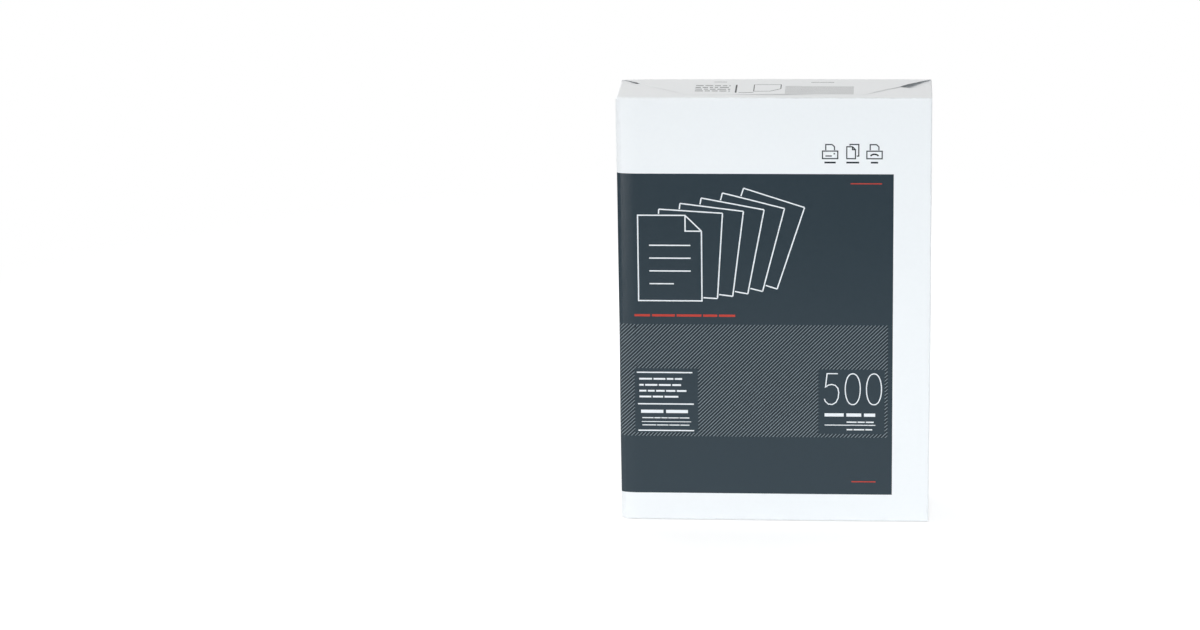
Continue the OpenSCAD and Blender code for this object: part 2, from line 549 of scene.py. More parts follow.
# A sheet from the grids of its outer and inner sides, which meet along all four borders: all points of
# the outer side, and those of the inner side that lie inside the borders.
def closedSheet(outer, inner, shadeAndRub):
    outIndex = np.arange(shadeAndRub.size).reshape(shadeAndRub.shape)
    inIndex = outIndex.copy()
    inside = inner[1:-1, 1:-1].reshape(-1, 3)
    inIndex[1:-1, 1:-1] = shadeAndRub.size + np.arange(len(inside)).reshape(inner[1:-1, 1:-1].shape[:2])
    points = np.concatenate([outer.reshape(-1, 3), inside])
    faces = np.concatenate([gridFaces(outIndex), gridFaces(inIndex, over=True)])
    return points, faces, np.append(shadeAndRub.reshape(-1), np.zeros(len(inside)))


# One end flap at the upper end, hinged on the back wall: columns run from one slanted fold to the other,
# rows from the wall over the crease to the free edge. The lower side is the upper one moved in by the
# paper's thickness, which falls to nothing at all four edges, so both sides meet there.
def flapSheet(plane, liftOf, wallY, swellOf, atFoot):
    f = flapShape
    g = flapGrid
    s = wrapperShape

    # Each row: its turn over the crease, its distance q from the wall, and its place down the wall.
    flatRows = spreadLines(g["flatFrom"], f["depth"] - g["flatTo"], g["rowCell"])
    flatRows = np.append(flatRows, f["depth"] - np.array(g["nearFree"]))
    before = np.zeros(len(f["onWall"]))
    after = np.zeros(len(flatRows))
    phi = np.concatenate([before, quarterTurn, after + math.pi / 2])[:, None]
    rowQ = np.concatenate([before, 0.0 * quarterTurn, flatRows])[:, None]
    arc = np.concatenate([before, np.ones(len(quarterTurn)), after])[:, None]
    down = np.concatenate([f["onWall"], 0.0 * quarterTurn, after])[:, None]

    half = s["foldStart"] - rowQ
    nearFold = half - np.array(g["nearFold"])
    share = np.linspace(0, 1, g["between"] + 1)[1:-1]
    side = np.hstack([g["centre"] + (nearFold[:, :1] - g["centre"]) * share, nearFold])
    cuts = (seamShape["edge"], seamShape["edge"] + seamShape["cutStep"])
    centre = spreadLines(-g["centre"], g["centre"], g["centreCell"], cuts)
    x = np.hstack([-side[:, ::-1], np.broadcast_to(centre, (len(rowQ), len(centre))), side])
    crease = creaseRadius(x, atFoot)
    q = rowQ + arc * crease * (1.0 - np.cos(phi))
    drop = np.where(down > 0, down, arc * crease * (1.0 - np.sin(phi)))
    radius = edgeRadius(x)
    beyond = np.where(x < 0, s["left"] + radius - x, x - s["right"] + radius)
    beyond = np.clip(beyond, 0, radius * f["edgeShare"])
    roundOff = radius - np.sqrt(radius**2 - beyond**2)
    off = swellOf(x, s["endLevel"]) + f["clear"] - roundOff
    y = wallY + off * (1.0 - ease(q, 0.0, f["wallFade"])) - q
    z = plane - drop + liftOf(x, q, atFoot) * np.sin(phi)

    fromSlant = (half - np.abs(x)) / math.sqrt(2.0)
    folded = 1.0 - ease(fromSlant, *f["thinning"])
    sheet = f["singleSheet"] + (f["foldedEdge"] - f["singleSheet"]) * folded
    roundSlant = 1.0 - np.clip(fromSlant / f["slantRound"], 0, 1)
    roundFree = 1.0 - np.clip((f["depth"] - q) / f["freeRound"], 0, 1)
    full = np.sqrt(np.clip(1.0 - roundSlant**2, 0, 1)) * np.sqrt(np.clip(1.0 - roundFree**2, 0, 1))
    full[0] = 0.0
    sag = 0.5 * sheet * (1.0 - full)
    sag[0] = 0.0
    y = y - np.cos(phi) * sag
    z = z - np.sin(phi) * sag
    thick = sheet * full
    upper = np.stack([x, y, z], axis=-1)
    lower = np.stack([x, y - np.cos(phi) * thick, z - np.sin(phi) * thick], axis=-1)
    # Painted grey shade along the crease and the slanted folds of the white flap.
    slanted = foldShadeAndRubShape["slanted"] * hill(fromSlant, 0.0, foldShadeAndRubShape["slantedWidth"])
    shadeAndRub = arc * np.sin(2 * phi) * creaseShadeAndRub(x) + slanted * (phi > quarterTurn[-2])
    return closedSheet(upper, lower, shadeAndRub)


# Turns a flap sheet to another wall or end by mirroring, and keeps its faces looking outwards.
def mirrored(points, faces, shadeAndRubs, flipY, flipZ):
    turned = points.copy()
    if flipY:
        turned[:, 1] = -turned[:, 1]
    if flipZ:
        turned[:, 2] = wrapperShape["height"] - turned[:, 2]
    return turned, faces[:, ::-1] if flipY != flipZ else faces, shadeAndRubs


# Outer flaps hinge on the back wall and inner ones on the front wall, at the top and at the foot.
def allFlaps():
    outer = (flapShape["outerPlane"], outerLift, wrapperShape["back"], backSeamSwell)
    inner = (flapShape["innerPlane"], innerLift, -wrapperShape["front"], frontSwell)
    flaps = []
    for kind, onFront in ((outer, False), (inner, True)):
        for atFoot in (False, True):
            flaps.append(mirrored(*flapSheet(*kind, atFoot), onFront, atFoot))
    return flaps


# The free strip of the overlap: columns from the glued part, where it comes out of the body, to the cut
# edge, rows up the back. Its inner side is the outer one moved in by the thickness, which falls to nothing
# at all four borders.
def seamSheet():
    s = seamShape
    fromBody = np.linspace(s["sheetFrom"], s["glueEnd"], 6)[:-1]
    columns = np.concatenate([fromBody, s["edge"] - np.array(s["toEdge"])])
    rows = spreadLines(s["sheetMargin"], wrapperShape["height"] - s["sheetMargin"], s["sheetCell"])
    x, z = np.meshgrid(columns, rows)
    roundEdge = 1.0 - np.clip((s["edge"] - x) / s["edgeRound"], 0, 1)
    full = np.sqrt(1.0 - roundEdge**2)
    full[:, 0] = 0.0
    full[[0, -1]] = 0.0
    buried = s["buried"] * (1.0 - ease(x, s["sheetFrom"], s["glueEnd"] - s["sheetFrom"]))
    sink = buried + 0.5 * s["thickness"] * (1.0 - full) * (x > s["glueEnd"])
    y = wrapperShape["back"] + backSeamSwell(x, z) + s["clear"] - sink
    outer = np.stack([x, y, z], axis=-1)
    inner = np.stack([x, y - s["thickness"] * full, z], axis=-1)
    # Painted grey shade along the cut edge of the white overlap.
    return closedSheet(outer, inner, foldShadeAndRubShape["freeEdge"] * roundEdge)


# Puts arrays in millimetres into a new mesh object in metres, with its slots and its own attribute of
# painted fold shade and rubbing.
def meshPiece(name, points, faces, materials, colours=None, shadeAndRubs=None, smoothAngle=38.0):
    mesh = bpy.data.meshes.new(name)
    mesh.vertices.add(len(points))
    mesh.vertices.foreach_set("co", (points * 0.001).astype(np.float32).ravel())
    mesh.loops.add(faces.size)
    mesh.loops.foreach_set("vertex_index", faces.astype(np.int32).ravel())
    mesh.polygons.add(len(faces))
    mesh.polygons.foreach_set("loop_start", np.arange(0, faces.size, faces.shape[1], dtype=np.int32))
    mesh.polygons.foreach_set("use_smooth", np.ones(len(faces), bool))
    for material in materials:
        mesh.materials.append(material)
    if colours is not None:
        mesh.polygons.foreach_set("material_index", colours.astype(np.int32))
    if shadeAndRubs is not None:
        mesh.attributes.new("shadeAndRub", "FLOAT", "POINT").data.foreach_set("value", shadeAndRubs.astype(np.float32))
    mesh.update(calc_edges=True)
    mesh.validate()
    mesh.set_sharp_from_angle(angle=math.radians(smoothAngle))
    piece = bpy.data.objects.new(name, mesh)
    bpy.context.scene.collection.objects.link(piece)
    return piece


# Joins parts that each start with their points and faces.
def joined(parts):
    starts = np.cumsum([0] + [len(part[0]) for part in parts])
    points = np.concatenate([part[0] for part in parts])
    faces = np.concatenate([part[1] + start for part, start in zip(parts, starts)])
    return points, faces


# Sets inputs of a node: each by its name or number, to a constant or to the output that feeds it.
def setInputs(tree, node, inputs):
    for socket, value in inputs.items():
        if isinstance(value, bpy.types.NodeSocket):
            tree.links.new(value, node.inputs[socket])
        else:
            node.inputs[socket].default_value = value


# Adds a node with its inputs and its own settings.
def addNode(tree, kind, inputs=None, **settings):
    node = tree.nodes.new(kind)
    for name, value in settings.items():
        setattr(node, name, value)
    setInputs(tree, node, inputs or {})
    return node


# Two values put together by a Math node.
def mathOf(tree, operation, first, second):
    return addNode(tree, "ShaderNodeMath", {0: first, 1: second}, operation=operation).outputs[0]


# Shared effects


# An empty node group with named inputs at given values and named outputs, and its input node's sockets.
def effectGroup(name, inputs, outputs):
    tree = bpy.data.node_groups.new(name, "ShaderNodeTree")
    for socket, value in inputs.items():
        made = tree.interface.new_socket(socket, in_out="INPUT", socket_type="NodeSocketFloat")
        made.default_value = value
    for socket in outputs:
        tree.interface.new_socket(socket, in_out="OUTPUT", socket_type="NodeSocketFloat")
    return tree, tree.nodes.new("NodeGroupInput").outputs


# Scales of the paper's three noises, and the detail and weight of each.
grainScales = {
    "Fibre Scale": 2600.0,
    "Mottle Scale": 420.0,
    "Wave Scale": 26.0,
}
grainNoises = {
    "Fibre Scale": (3.0, 0.12),
    "Mottle Scale": (2.0, 0.3),
    "Wave Scale": (2.0, 1.0),
}

# The noise of the patches of painted fold shade and rubbing, and the two limits that sharpen it.
patchNoise = {
    "scale": 240.0,
    "detail": 4.0,
    "limits": (0.25, 0.75),
}


# Fibre, mottle and slow waviness of coated paper: three noises, added with their own weights.
def paperGrainGroup():
    tree, given = effectGroup("paperGrain", grainScales, ("Height", "Mottle"))
    place = addNode(tree, "ShaderNodeTexCoord").outputs["Object"]
    noises = {}
    total = None
    for socket, (detail, weight) in grainNoises.items():
        inputs = {"Detail": detail, "Vector": place, "Scale": given[socket]}
        noises[socket] = addNode(tree, "ShaderNodeTexNoise", inputs).outputs["Fac"]
        part = mathOf(tree, "MULTIPLY", noises[socket], weight)
        total = part if total is None else mathOf(tree, "ADD", total, part)
    addNode(tree, "NodeGroupOutput", {"Height": total, "Mottle": noises["Mottle Scale"]})
    return tree


# Share of painted fold shade on the white and of rubbed wear on the inks: the mesh's own attribute of it
# times a coarse noise, sharpened between two limits.
def foldShadeAndRubGroup():
    p = patchNoise
    tree, given = effectGroup("foldShadeAndRub", {"Patch Scale": p["scale"], "Strength": 0.5}, ("Shaded And Rubbed",))
    place = addNode(tree, "ShaderNodeTexCoord").outputs["Object"]
    shadeAndRub = addNode(tree, "ShaderNodeAttribute", attribute_name="shadeAndRub").outputs["Fac"]
    inputs = {"Detail": p["detail"], "Vector": place, "Scale": given["Patch Scale"]}
    patches = addNode(tree, "ShaderNodeTexNoise", inputs).outputs["Fac"]
    limits = {"From Min": p["limits"][0], "From Max": p["limits"][1], "Value": patches}
    sharp = addNode(tree, "ShaderNodeMapRange", limits).outputs["Result"]
    share = mathOf(tree, "MULTIPLY", shadeAndRub, sharp)
    addNode(tree, "NodeGroupOutput", {"Shaded And Rubbed": mathOf(tree, "MULTIPLY", share, given["Strength"])})
    return tree


paperGrain = paperGrainGroup()
foldShadeAndRub = foldShadeAndRubGroup()

# Finishes of the wrapper and its inks: linear colour, roughness, share by which the colour varies, gloss,
# and for the wrapper's own faces the fold colour and its strength: painted grey shade on the white, rubbed
# wear on the inks.
paperFinishes = {
    "coatedWhite": ((0.87, 0.885, 0.9), 0.44, 0.012, 0.38, (0.62, 0.63, 0.64), 0.6),
    "slateField": ((0.0145, 0.031, 0.044), 0.33, 0.05, 0.42, (0.2, 0.22, 0.24), 0.15),
    "bandGround": ((0.004, 0.013, 0.021), 0.33, 0.05, 0.42, (0.2, 0.22, 0.24), 0.15),
    "paleLine": ((0.82, 0.85, 0.88), 0.42, 0.01, 0.5),
    "hatchLine": ((0.192, 0.236, 0.264), 0.42, 0.04, 0.25),
    "redLine": ((0.5, 0.045, 0.03), 0.42, 0.03, 0.25),
    "greyMark": ((0.022, 0.026, 0.032), 0.45, 0.05, 0.25),
    "greyBlock": ((0.56, 0.57, 0.575), 0.45, 0.02, 0.5),
}

# What all paper finishes share: how far the roughness varies, and the bump's strength and depth in metres.
paperSurface = {
    "smoother": 0.05,
    "rougher": 0.07,
    "bumpStrength": 0.6,
    "bumpDistance": 0.0003,
}


# A coated paper finish: the colour moves a little with the mottle, folds on the white take a painted grey
# shade and rubbed inks go lighter, and the grain's height feeds a bump.
def paperMaterial(name, colour, roughness, mottle, gloss, shadeAndRubColour=None, shadeAndRubStrength=0.0):
    s = paperSurface
    material = bpy.data.materials.new(name)
    material.use_nodes = True
    tree = material.node_tree
    grain = addNode(tree, "ShaderNodeGroup", node_tree=paperGrain)
    setInputs(tree, grain, grainScales)
    tones = {
        "Factor": grain.outputs["Mottle"],
        "A": (*[c * (1 - mottle) for c in colour], 1),
        "B": (*[min(1.0, c * (1 + mottle)) for c in colour], 1),
    }
    tone = addNode(tree, "ShaderNodeMix", tones, data_type="RGBA").outputs["Result"]
    # Folds: painted grey shade on the white wrapper, rubbed lighter wear on the inks.
    if shadeAndRubColour:
        shadedAndWorn = addNode(tree, "ShaderNodeGroup", node_tree=foldShadeAndRub)
        setInputs(tree, shadedAndWorn, {"Patch Scale": patchNoise["scale"], "Strength": shadeAndRubStrength})
        shadeAndWear = {"Factor": shadedAndWorn.outputs["Shaded And Rubbed"], "A": tone, "B": (*shadeAndRubColour, 1)}
        tone = addNode(tree, "ShaderNodeMix", shadeAndWear, data_type="RGBA").outputs["Result"]
    ranges = {
        "Value": grain.outputs["Mottle"],
        "To Min": roughness - s["smoother"],
        "To Max": roughness + s["rougher"],
    }
    relief = {
        "Height": grain.outputs["Height"],
        "Strength": s["bumpStrength"],
        "Distance": s["bumpDistance"],
    }
    finish = {
        "Base Color": tone,
        "Roughness": addNode(tree, "ShaderNodeMapRange", ranges).outputs["Result"],
        "Normal": addNode(tree, "ShaderNodeBump", relief).outputs["Normal"],
        "Specular IOR Level": gloss,
    }
    setInputs(tree, tree.nodes["Principled BSDF"], finish)
    return material


paper = {name: paperMaterial(name, *finish) for name, finish in paperFinishes.items()}
print("materials ready")


# The wrapper: body, four flaps and seam joined as one piece that stands for the CAD block.
def buildWrapper():
    parts = [(bodyPoints, bodyFaces, bodyShadeAndRubs), *allFlaps(), seamSheet()]
    points, faces = joined(parts)
    shadeAndRubs = np.concatenate([part[2] for part in parts])
    colours = np.append(bodyColours, np.zeros(len(faces) - len(bodyColours), int))
    materials = [paper["coatedWhite"], paper["slateField"], paper["bandGround"]]
    piece = meshPiece("wrapper", points, faces, materials, colours, shadeAndRubs)
    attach(piece, "root")
    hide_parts("wrapped_ream")
    return piece


wrapper = buildWrapper()
print("wrapper:", len(wrapper.data.polygons), "faces")


# Point of the label at u (x on the face, run on round the left side) and height z, raised by lift:
# bilinear between the four grid points of its cell, moved along the cell's normal.
def onLabel(u, z, lift):
    roll, walls, net = printGrid
    i = np.clip(np.searchsorted(roll, u, side="right") - 1, 0, len(roll) - 2)
    k = np.clip(np.searchsorted(walls, z, side="right") - 1, 0, len(walls) - 2)
    s = ((u - roll[i]) / (roll[i + 1] - roll[i]))[:, None]
    t = ((z - walls[k]) / (walls[k + 1] - walls[k]))[:, None]
    a, b, d, e = net[k, i], net[k, i + 1], net[k + 1, i], net[k + 1, i + 1]
    point = (a * (1 - s) + b * s) * (1 - t) + (d * (1 - s) + e * s) * t
    normal = np.cross((b - a) * (1 - t) + (e - d) * t, (d - a) * (1 - s) + (e - b) * s)
    normal /= np.linalg.norm(normal, axis=1)[:, None]
    return point + normal * lift


# Point of the upper outer flap at x, y, raised by lift.
def onFlap(x, y, lift):
    z = flapShape["outerPlane"] + outerLift(x, wrapperShape["back"] - y)
    return np.stack([x, y, z + lift], axis=-1)


# Printed strokes: how far they stand out of the paper and reach into it, the length of their cells, and
# the least cosine that their mitred corners take.
strokeShape = {
    "rise": 0.035,
    "sink": 0.02,
    "step": 4.0,
    "miterLimit": 0.35,
    "smoothAngle": 30.0,
    "breaksTo": -96.0,  # x up to which a stroke on the label has points at every line of the grid
}

# Values of the first coordinate at which a stroke on each surface must have points of its own: round the
# left edge of the label, and at the step of the overlap on the flap.
strokeBreaks = {
    onLabel: printGrid[0][printGrid[0] < strokeShape["breaksTo"]],
    onFlap: np.array([seamShape["edge"], seamShape["edge"] + seamShape["cutStep"]]),
}


# Vectors scaled to length 1.
def unit(vectors):
    return vectors / np.linalg.norm(vectors, axis=1)[:, None]


# Points of a path, cut to about the step and at every break of its surface.
def densePath(path, place, step, closed):
    pieces = []
    for a, b in zip(path[:-1], path[1:]):
        cuts = max(1, int(np.hypot(*(b - a)) / step))
        share = np.arange(cuts) / cuts
        if abs(b[0] - a[0]) > 1e-6:
            crossing = (strokeBreaks[place] - a[0]) / (b[0] - a[0])
            share = np.unique(np.concatenate([share, crossing[(crossing > 0) & (crossing < 1)]]))
        pieces.append(a + (b - a) * share[:, None])
    return np.vstack(pieces if closed else [*pieces, path[-1:]])


# A printed stroke: a thin closed bar along a path of (u, v) points on one of the surfaces above.
# Its section is width by thickness, its corners are mitred, and both ends are closed. With levelEnds
# its sides are moved apart sideways only, so that a slanting stroke ends in level cuts.
def strokeBar(path, width, place, step=strokeShape["step"], closed=False, levelEnds=False):
    path = np.asarray(path, float)
    if closed:
        path = np.vstack([path, path[:1]])
    dense = densePath(path, place, step, closed)
    count = len(dense)
    if closed:
        before = np.roll(dense, 1, axis=0)
        after = np.roll(dense, -1, axis=0)
    else:
        before = np.vstack([2 * dense[0] - dense[1], dense[:-1]])
        after = np.vstack([dense[1:], 2 * dense[-1] - dense[-2]])
    away = unit(after - dense)
    tangent = unit(unit(dense - before) + away)
    miter = 1.0 / np.clip(np.sum(tangent * away, axis=1), strokeShape["miterLimit"], 1.0)
    side = np.stack([-tangent[:, 1], tangent[:, 0]], axis=-1) * (0.5 * width * miter)[:, None]
    if levelEnds:
        side = np.stack([-0.5 * width / tangent[:, 1], np.zeros(count)], axis=-1)
    left = (dense + side).T
    right = (dense - side).T
    rise = strokeShape["rise"]
    sink = -strokeShape["sink"]
    corners = [place(*left, rise), place(*left, sink), place(*right, sink), place(*right, rise)]
    points = np.stack(corners, axis=1).reshape(-1, 3)
    n = 4 * np.arange(count if closed else count - 1)
    m = (n + 4) % (4 * count)
    quads = []
    for j in range(4):
        k = (j + 1) % 4
        quads.append(np.stack([n + j, n + k, m + k, m + j], axis=-1))
    if not closed:
        last = 4 * (count - 1)
        quads.append(np.array([[0, 3, 2, 1], [last, last + 1, last + 2, last + 3]]))
    return points, np.concatenate(quads)


# A level stroke from left to right at height v.
def levelBar(left, right, v, width, place=onLabel):
    return strokeBar([(left, v), (right, v)], width, place)


# Joins printed strokes into one piece.
def printPiece(name, bars, material):
    points, faces = joined(bars)
    piece = meshPiece(name, points, faces, [material], smoothAngle=strokeShape["smoothAngle"])
    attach(piece, "root")
    print(name + ":", len(faces), "faces")
    return piece


# The hatched band: lines at 45 degrees leaning right, left out over the two plain boxes.
hatchShape = {
    "period": 2.55,
    "width": 0.5,
    "wrapStart": -130.4,
    "step": 7.0,
    "shortest": 0.6,
}


# Along each line u = offset + t and z = bandLow + t, where t runs from the band's foot to its top.
def hatchedBand():
    f = fieldLayout
    h = hatchShape
    tall = f["bandHigh"] - f["bandLow"]
    boxFoot = f["boxLow"] - f["bandLow"]
    boxTop = f["boxHigh"] - f["bandLow"]
    bars = []
    for offset in np.arange(h["wrapStart"] - tall, f["bandRight"], h["period"]):
        spans = [(max(0.0, h["wrapStart"] - offset), min(tall, f["bandRight"] - offset))]
        for left, right in (f["leftBox"], f["rightBox"]):
            gapFrom = max(boxFoot, left - offset)
            gapTo = min(boxTop, right - offset)
            if gapTo > gapFrom:
                spans = [cut for a, b in spans for cut in ((a, min(b, gapFrom)), (max(a, gapTo), b))]
        for a, b in spans:
            if b - a > h["shortest"]:
                ends = [(offset + a, f["bandLow"] + a), (offset + b, f["bandLow"] + b)]
                bars.append(strokeBar(ends, h["width"], onLabel, step=h["step"], levelEnds=True))
    return bars


printPiece("hatchedBand", hatchedBand(), paper["hatchLine"])

# The large line drawing on the field: plain sheets spread out one behind the other, each moved on and
# turned a little further, the front one with a folded corner and a few lines.
fanShape = {
    "start": (-92.0, 158.0),
    "sheet": (43.0, 60.0),
    "shift": (10.6, 4.4),
    "turn": -3.6,
    "count": 6,
    "corner": 11.0,
    "stroke": 0.86,
    "rowLeft": 7.5,
    "rowRights": (24.0, 35.5, 35.5, 35.5),
    "rowFoot": 12.0,
    "rowGap": 9.0,
    "margin": 0.9,  # gap left between a sheet and the outline of one behind it
    "sample": 0.25,
    "shortest": 3,  # in samples
}


# Keeps the stretches of a path that lie outside every sheet in front of it, and its margin.
def visibleRuns(path, fronts):
    f = fanShape
    runs = []
    for a, b in zip(path[:-1], path[1:]):
        samples = max(2, int(np.hypot(*(b - a)) / f["sample"]))
        line = a + (b - a) * np.linspace(0, 1, samples)[:, None]
        shown = np.ones(len(line), bool)
        for front in fronts:
            edge = np.roll(front, -1, axis=0) - front
            toPoint = line[:, None, :] - front[None, :, :]
            turn = edge[None, :, 0] * toPoint[:, :, 1] - edge[None, :, 1] * toPoint[:, :, 0]
            shown &= ~np.all(turn > -f["margin"] * np.linalg.norm(edge, axis=1), axis=1)
        marks = np.flatnonzero(np.diff(np.concatenate([[0], shown.astype(int), [0]])))
        runs += [line[[a, b - 1]] for a, b in zip(marks[::2], marks[1::2]) if b - a > f["shortest"]]
    return runs


# Each sheet is a rectangle at its own shift and turn, drawn only where no sheet in front covers it.
def sheetFan():
    f = fanShape
    w, h = f["sheet"]
    cut = f["corner"]
    start = np.array(f["start"])
    front = np.array([(0, 0), (w, 0), (w, h - cut), (w - cut, h), (0, h)]) + start
    fold = np.array([(w - cut, h), (w - cut, h - cut), (w, h - cut)]) + start
    bars = [strokeBar(front, f["stroke"], onLabel, closed=True), strokeBar(fold, f["stroke"], onLabel)]
    for row, right in enumerate(f["rowRights"]):
        z = start[1] + f["rowFoot"] + f["rowGap"] * row
        bars.append(levelBar(start[0] + f["rowLeft"], start[0] + right, z, f["stroke"]))
    fronts = [front]
    for number in range(1, f["count"]):
        angle = math.radians(f["turn"] * number)
        turn = np.array([[math.cos(angle), math.sin(angle)], [-math.sin(angle), math.cos(angle)]])
        foot = start + number * np.array(f["shift"])
        outline = np.array([(0, 0), (w, 0), (w, h), (0, h)]) @ turn + foot
        for run in visibleRuns(np.vstack([outline, outline[:1]]), fronts):
            bars.append(strokeBar(run, f["stroke"], onLabel))
        fronts.append(outline)
    return bars


# Gap between the bars of a row, as a share of their thickness, and the least room for a last bar, as a
# share of the shortest one.
wordSpacing = {
    "gap": 0.8,
    "leastRoom": 0.5,
}


# A row of small bars that stands where a line of small print would be, with seeded lengths. With ragged
# its right end falls short by up to that much.
def wordRow(rng, left, right, v, height, shortest, longest, ragged=0.0, place=onLabel):
    if ragged:
        right = right - rng.uniform(0, ragged)
    bars = []
    at = left
    while at < right - shortest * wordSpacing["leastRoom"]:
        end = min(right, at + rng.uniform(shortest, longest))
        bars.append(levelBar(at, end, v, height, place))
        at = end + height * wordSpacing["gap"]
    return bars


# The plain number: left, foot, width and height of its first numeral, gap and stroke. Its five is a path
# in a box 1 wide and 2 high, and its noughts are ovals with slightly squared sides.
numberShape = {
    "digits": "500",
    "left": 33.6,
    "foot": 84.9,
    "width": 10.2,
    "height": 22.0,
    "gap": 4.2,
    "stroke": 0.74,
    "five": (
        ((0.92, 2.0), (0.2, 2.0), (0.1, 1.14), (0.3, 1.26), (0.52, 1.3), (0.75, 1.24), (0.92, 1.06))
        + ((0.98, 0.78), (0.94, 0.42), (0.8, 0.14), (0.55, 0.0), (0.3, 0.02), (0.1, 0.18), (0.02, 0.36))
    ),
    "ovalPoints": 48,
    "ovalPower": 0.86,
}


# Hairline numerals side by side. An oval's point at angle t is (signed |cos t|^power, sin t) times half
# its width and height.
def numeralBars():
    n = numberShape
    half = np.array([n["width"] / 2, n["height"] / 2])
    t = np.linspace(0, 2 * math.pi, n["ovalPoints"] + 1)[:-1]
    oval = np.stack([np.sign(np.cos(t)) * np.abs(np.cos(t)) ** n["ovalPower"], np.sin(t)], axis=-1)
    bars = []
    for number, digit in enumerate(n["digits"]):
        corner = np.array([n["left"] + number * (n["width"] + n["gap"]), n["foot"]])
        if digit == "5":
            path = np.array(n["five"]) * np.array([n["width"], n["height"] / 2]) + corner
        else:
            path = corner + half + oval * half
        bars.append(strokeBar(path, n["stroke"], onLabel, closed=digit == "0"))
    return bars


# Rules and rows of bars on the field. A rule has left, right, height and width. A row has left, right,
# height, thickness, shortest and longest bar, and how far its right end may fall short.
labelRows = {
    "seed": 7,
    "rules": (
        (-94.0, -56.0, 106.9, 0.9),
        (-93.4, -55.2, 84.3, 0.9),
        (-91.0, -57.2, 71.5, 0.5),
        (-93.4, -55.2, 65.2, 0.9),
        (34.0, 68.6, 70.1, 0.6),
    ),
    "leftRows": (
        *((-92.4, -57.5, z, 1.25, 3.0, 9.5, 6.0) for z in (102.3, 97.9, 93.7, 89.5)),
        (-91.4, -57.2, 78.9, 2.3, 14.0, 20.0),
        *((-90.6, -58.4, z, 0.7, 4.0, 10.0) for z in (74.3, 69.1)),
    ),
    "rightRows": (
        (34.0, 68.4, 77.4, 2.3, 10.0, 22.0),
        *((49.0, 68.4, z, 0.9, 4.0, 8.0) for z in (72.3, 66.9)),
    ),
}


# Light print on the field: the line drawing, rules, small rows and the plain number.
def lightPrint():
    r = labelRows
    rng = np.random.default_rng(r["seed"])
    bars = sheetFan() + [levelBar(*rule) for rule in r["rules"]]
    for row in r["leftRows"]:
        bars += wordRow(rng, *row)
    bars += numeralBars()
    for row in r["rightRows"]:
        bars += wordRow(rng, *row)
    return bars


printPiece("lightPrint", lightPrint(), paper["paleLine"])

# Red print, with the same columns as above.
redRows = {
    "seed": 11,
    "rules": ((51.3, 72.2, 240.4, 0.75), (52.4, 68.8, 29.3, 0.75)),
    "row": (-95.0, -25.0, 147.6, 1.6, 9.0, 22.0),
}


# Two short rules at the right, and a row of bars where a line of words would be.
def redPrint():
    rng = np.random.default_rng(redRows["seed"])
    return [levelBar(*rule) for rule in redRows["rules"]] + wordRow(rng, *redRows["row"])


printPiece("redPrint", redPrint(), paper["redLine"])

# Three small line drawings over the field: a desk printer, two sheets and a printer with a handset. Each
# has its left end, middle and width of the short bar under it, and its parts.
iconShape = {
    "foot": 257.7,
    "step": 3.0,
    "captionZ": 255.0,
    "captionHeight": 1.15,
    "drawings": (
        (32.4, 5.1, 7.6, ("case", "tray", "slot", "button")),
        (48.6, 4.0, 8.6, ("frontSheet", "corner", "backSheet")),
        (62.0, 5.1, 4.8, ("case", "tray", "handset")),
    ),
}

# Their parts: stroke, whether the path closes, and its points from the drawing's lower left corner. The
# handset is an arc of an ellipse about its middle.
arcTurn = np.linspace(math.radians(25), math.radians(155), 9)
iconParts = {
    "case": (0.78, True, ((0, 0), (10.2, 0), (10.2, 5.2), (0, 5.2))),
    "tray": (0.78, False, ((2.2, 5.8), (2.2, 9.7), (6.4, 9.7), (8.0, 8.2), (8.0, 5.8))),
    "slot": (0.78, False, ((2.0, 1.8), (6.2, 1.8))),
    "button": (0.9, False, ((7.4, 3.4), (8.4, 3.4))),
    "frontSheet": (0.78, True, ((0, 0), (5.8, 0), (5.8, 6.2), (3.8, 8.2), (0, 8.2))),
    "corner": (0.78, False, ((3.8, 8.2), (3.8, 6.2), (5.8, 6.2))),
    "backSheet": (0.78, False, ((2.2, 9.0), (2.2, 9.8), (8.0, 9.8), (8.0, 1.8), (6.6, 1.8))),
    "handset": (1.0, False, np.stack([5.1 + 2.9 * np.cos(arcTurn), 0.9 + 2.2 * np.sin(arcTurn)], axis=-1)),
}


# Every part moved to its drawing's place, and the short bar under each drawing.
def smallIcons():
    s = iconShape
    bars = []
    for left, middle, width, parts in s["drawings"]:
        for part in parts:
            stroke, closed, path = iconParts[part]
            points = np.array(path, float) + np.array([left, s["foot"]])
            bars.append(strokeBar(points, stroke, onLabel, step=s["step"], closed=closed))
        half = width / 2
        bars.append(levelBar(left + middle - half, left + middle + half, s["captionZ"], s["captionHeight"]))
    return bars


# Small marks on the upper flap. Rules have left, right, y and width, the bar x, two ends and width, and
# the rows of short bars have y, both ends, thickness, shortest and longest bar.
endMarks = {
    "seed": 5,
    "rules": ((-41.5, -33.0, 17.0, 0.7), (24.0, 39.5, 16.4, 0.7), (-24.0, -14.0, -13.2, 0.6)),
    "bar": (-26.0, -13.0, 9.0, 1.1),
    "rows": (6.0, 1.0, -4.0, -9.0),
    "rowEnds": (-53.5, -30.0),
    "rowBars": (1.5, 2.0, 6.0),
    "figure": ((-14.0, -10.0), (-14.0, 9.0), (4.0, 9.0), (4.0, -3.0), (-3.0, -10.0)),
    "figureStroke": 0.6,
}


